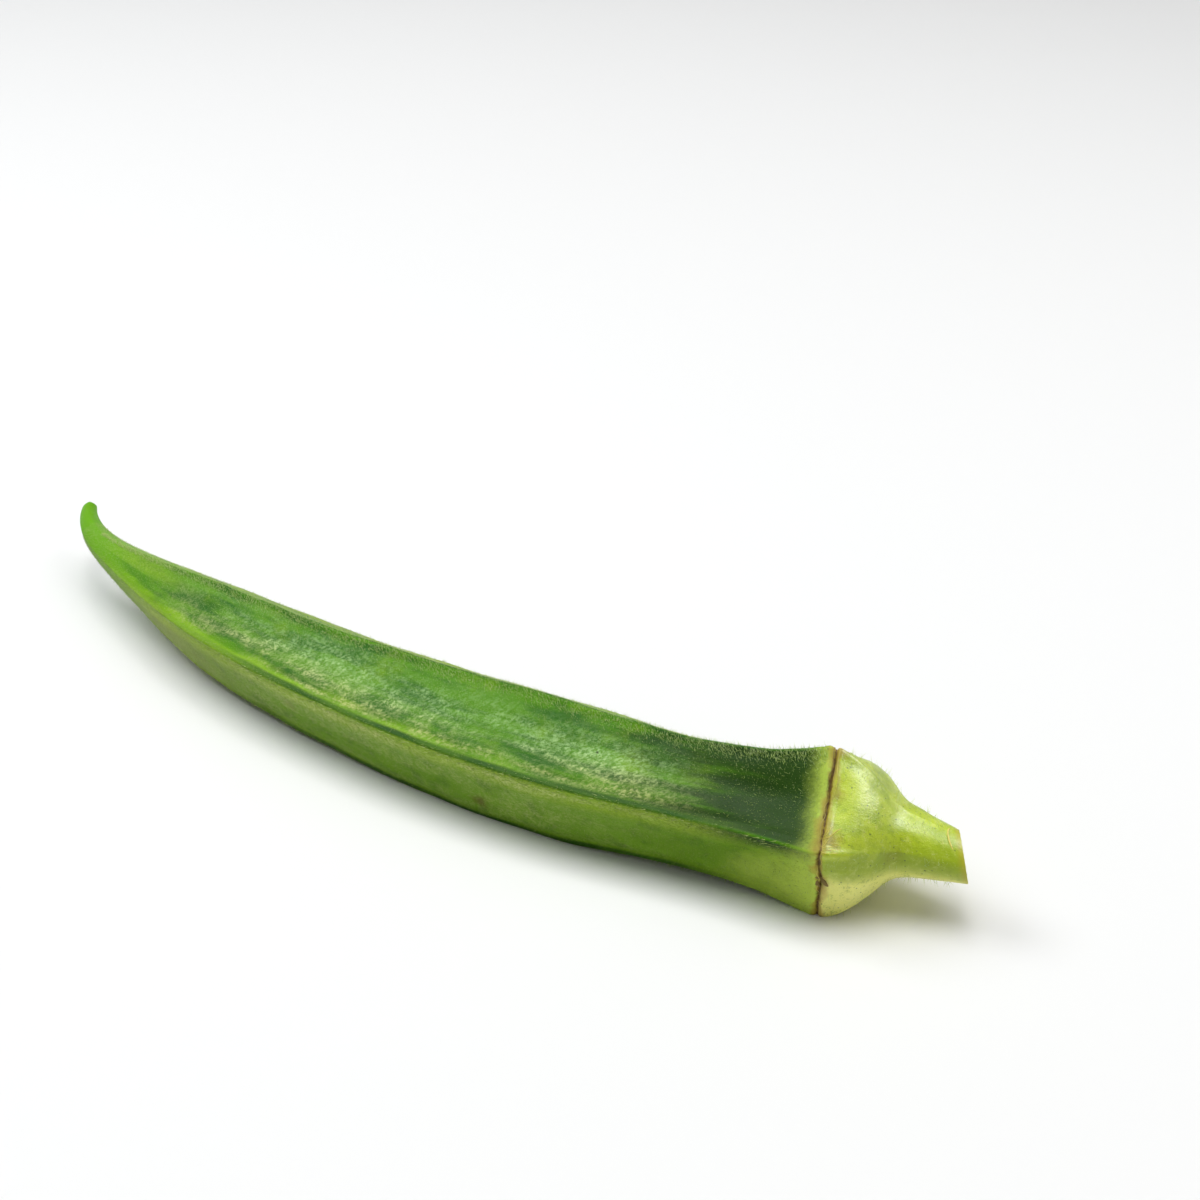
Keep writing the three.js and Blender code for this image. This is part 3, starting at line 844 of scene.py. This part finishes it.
ridge_fuzz = hairs("ridge_fuzz", ridge_places, ridge_turns,
                   draw.uniform(0.2, 0.5, RIDGE_FUZZ) * longer, 0.026, np.full(RIDGE_FUZZ, 0.25), 0.4, 2)

# %% Bristles on the cap, a third of them on its ridges, and flat hairs on the shoulder and below the ridges
bristle_turns = np.where(draw.random(BRISTLES) < 0.35,
                         draw.integers(0, RIDGES, BRISTLES) * SECTOR + draw.normal(0, 9, BRISTLES),
                         draw.uniform(-180, 180, BRISTLES))
bristles = hairs("cap_bristles", -draw.uniform(0.6, 13, BRISTLES), bristle_turns,
                 draw.uniform(0.4, 1.15, BRISTLES), 0.024, draw.normal(-0.1, 0.3, BRISTLES), 0.3, 3,
                 root_tone=0.85)
flat_places = 0.9 + draw.exponential(15, FLAT_HAIRS)
flat_hairs = hairs("shoulder_hairs", flat_places, draw.uniform(-180, 180, FLAT_HAIRS),
                   draw.uniform(0.3, 0.6, FLAT_HAIRS), 0.032, draw.normal(1.4, 0.6, FLAT_HAIRS), 0.6, 4)
crest_turns = draw.integers(1, RIDGES, CREST_HAIRS) * SECTOR + draw.normal(3.5, 2, CREST_HAIRS)
crest_hairs = hairs("crest_hairs", draw.uniform(4, 76, CREST_HAIRS), crest_turns,
                    draw.uniform(0.4, 0.9, CREST_HAIRS), 0.04, draw.normal(2.6, 0.8, CREST_HAIRS), 0.3, 5,
                    root_tone=1.0)

# %% [markdown]
# ## Hair and cork
#
# A plant hair is one dry, clear cell. It could be made as glass, but thousands of glass hairs are slow
# and grainy, so it is an opaque gloss, green at the root, where the skin shines through, and pale at the
# point. The threads of the scar are dead cork, torn and dry: dull, and from brown to straw.

# %% The glassy hair
hair_material, tree = new_material("plant_hair")
out = add(tree, "Attribute", attribute_name="out").outputs["Fac"]
root_green, clear_point = linear("648a0c"), linear("c2d47c")
hair_paint = add(tree, "Mix", {0: out, 6: root_green, 7: clear_point}, data_type="RGBA").outputs[2]
glassy = add(tree, "BsdfPrincipled", {
    "Base Color": hair_paint, "Roughness": 0.35, "IOR": 1.5,
})
add(tree, "OutputMaterial", {0: glassy.outputs[0]})
for piece in (fuzz, ridge_fuzz, bristles, flat_hairs, crest_hairs):
    piece.data.materials.append(hair_material)
print("the hair is on", hair_material.users, "pieces")

# %% Dry threads
thread_material, tree = new_material("dry_cork_thread")
tone = add(tree, "Attribute", attribute_name="tone").outputs["Fac"]
cork_brown, straw = linear("5c3c10"), linear("dcd060")
thread_paint = add(tree, "Mix", {0: tone, 6: cork_brown, 7: straw}, data_type="RGBA").outputs[2]
thread_skin = add(tree, "BsdfPrincipled", {"Base Color": thread_paint, "Roughness": 0.7, "IOR": 1.5})
add(tree, "OutputMaterial", {0: thread_skin.outputs[0]})
threads.data.materials.append(thread_material)
print("the cork is on", thread_material.users, "piece")

# %% [markdown]
# ## What rides and what is replaced
#
# The fine skin and the cut face stand for the plain solid, and everything moves with it.

# %% Join the pieces to the frame
pieces = [skin, cut_face, threads, fuzz, ridge_fuzz, bristles, flat_hairs, crest_hairs]
for piece in pieces:
    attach(piece, "root")
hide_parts("okra_pod")
print(len(pieces), "pieces ride on the root")

# %% [markdown]
# ## Studio and camera
#
# The pod lies on a plain white board, painted and matt, which the eye sees as an even, bright ground. A
# broad soft box stands high above, so the upper faces shine and the near side is lit mostly by the board
# and the room. A cooler one at the tip end rakes along the pod and brings out its relief, and a weak one
# fills the other side. The last one only shows in the gloss of the cap: with its diffuse light on, it
# would throw a second shadow. The camera stands where the photograph was taken.

# %% Floor and room
FLOOR_SIZE = 3.0
bpy.ops.mesh.primitive_plane_add(size=FLOOR_SIZE)
floor = bpy.context.object
floor.name = "floor"
floor_material, tree = new_material("matt_white_board")
board = add(tree, "BsdfPrincipled", {"Base Color": linear("e6e6e5"), "Roughness": 0.9})
add(tree, "OutputMaterial", {0: board.outputs[0]})
floor.data.materials.append(floor_material)

world = bpy.data.worlds.new("soft_room")
world.use_nodes = True
world.node_tree.nodes["Background"].inputs[0].default_value = linear("ffffff")
world.node_tree.nodes["Background"].inputs[1].default_value = 0.24
bpy.context.scene.world = world
print("the board is", FLOOR_SIZE, "m wide")

# %% Lights


def soft_box(name, place, aim, size, watts, colour):
    """A square area light at a place in metres, facing a point."""
    light = bpy.data.lights.new(name, "AREA")
    light.size, light.energy, light.color = size, watts, linear(colour)[:3]
    lamp = bpy.data.objects.new(name, light)
    lamp.location = place
    lamp.rotation_euler = (Vector(aim) - Vector(place)).to_track_quat("-Z", "Y").to_euler()
    bpy.context.collection.objects.link(lamp)
    return lamp


soft_box("overhead", (-0.05, 0.0, 0.9), (0, 0, 0), 0.55, 5.2, "ffffff")
soft_box("window", (-0.5, -0.12, 0.6), (0, 0, 0), 0.35, 2.6, "f8fbff")
soft_box("right", (0.34, 0.12, 0.62), (0, 0, 0), 0.3, 0.9, "ffffff")
glint = soft_box("glint", (0.34, 0.30, 0.5), (0, 0, 0), 0.36, 8.5, "ffffff")
glint.visible_diffuse = False
bpy.context.scene.view_settings.view_transform = "Standard"
print("there are", len(bpy.data.lights), "soft boxes")

# %% The camera
CAMERA_TURN, CAMERA_TILT = math.radians(36.18), math.radians(30)
CAMERA_HEIGHT, RING_RIGHT, RING_AHEAD = 131.65, 24.67, 166.81
FIELD = math.radians(34.43)
ring_centre = axis_frame(np.array(0.0))[0] + to_frame
ahead = Vector((-math.sin(CAMERA_TURN), math.cos(CAMERA_TURN), 0))
right = Vector((math.cos(CAMERA_TURN), math.sin(CAMERA_TURN), 0))
stand = Vector((ring_centre[0], ring_centre[1], CAMERA_HEIGHT)) - right * RING_RIGHT - ahead * RING_AHEAD
forward = ahead * math.cos(CAMERA_TILT) - Vector((0, 0, math.sin(CAMERA_TILT)))
upward = right.cross(forward)
camera_data = bpy.data.cameras.new("camera")
camera_data.sensor_width = 36
camera_data.lens = 18 / math.tan(FIELD / 2)
camera_data.clip_start = 0.01
camera = bpy.data.objects.new("camera", camera_data)
axes = Matrix((right, upward, -forward)).transposed()
camera.matrix_world = Matrix.Translation(stand * MM) @ axes.to_4x4()
bpy.context.collection.objects.link(camera)
bpy.context.scene.camera = camera
print("the camera stands at", [round(v, 1) for v in stand], "mm")
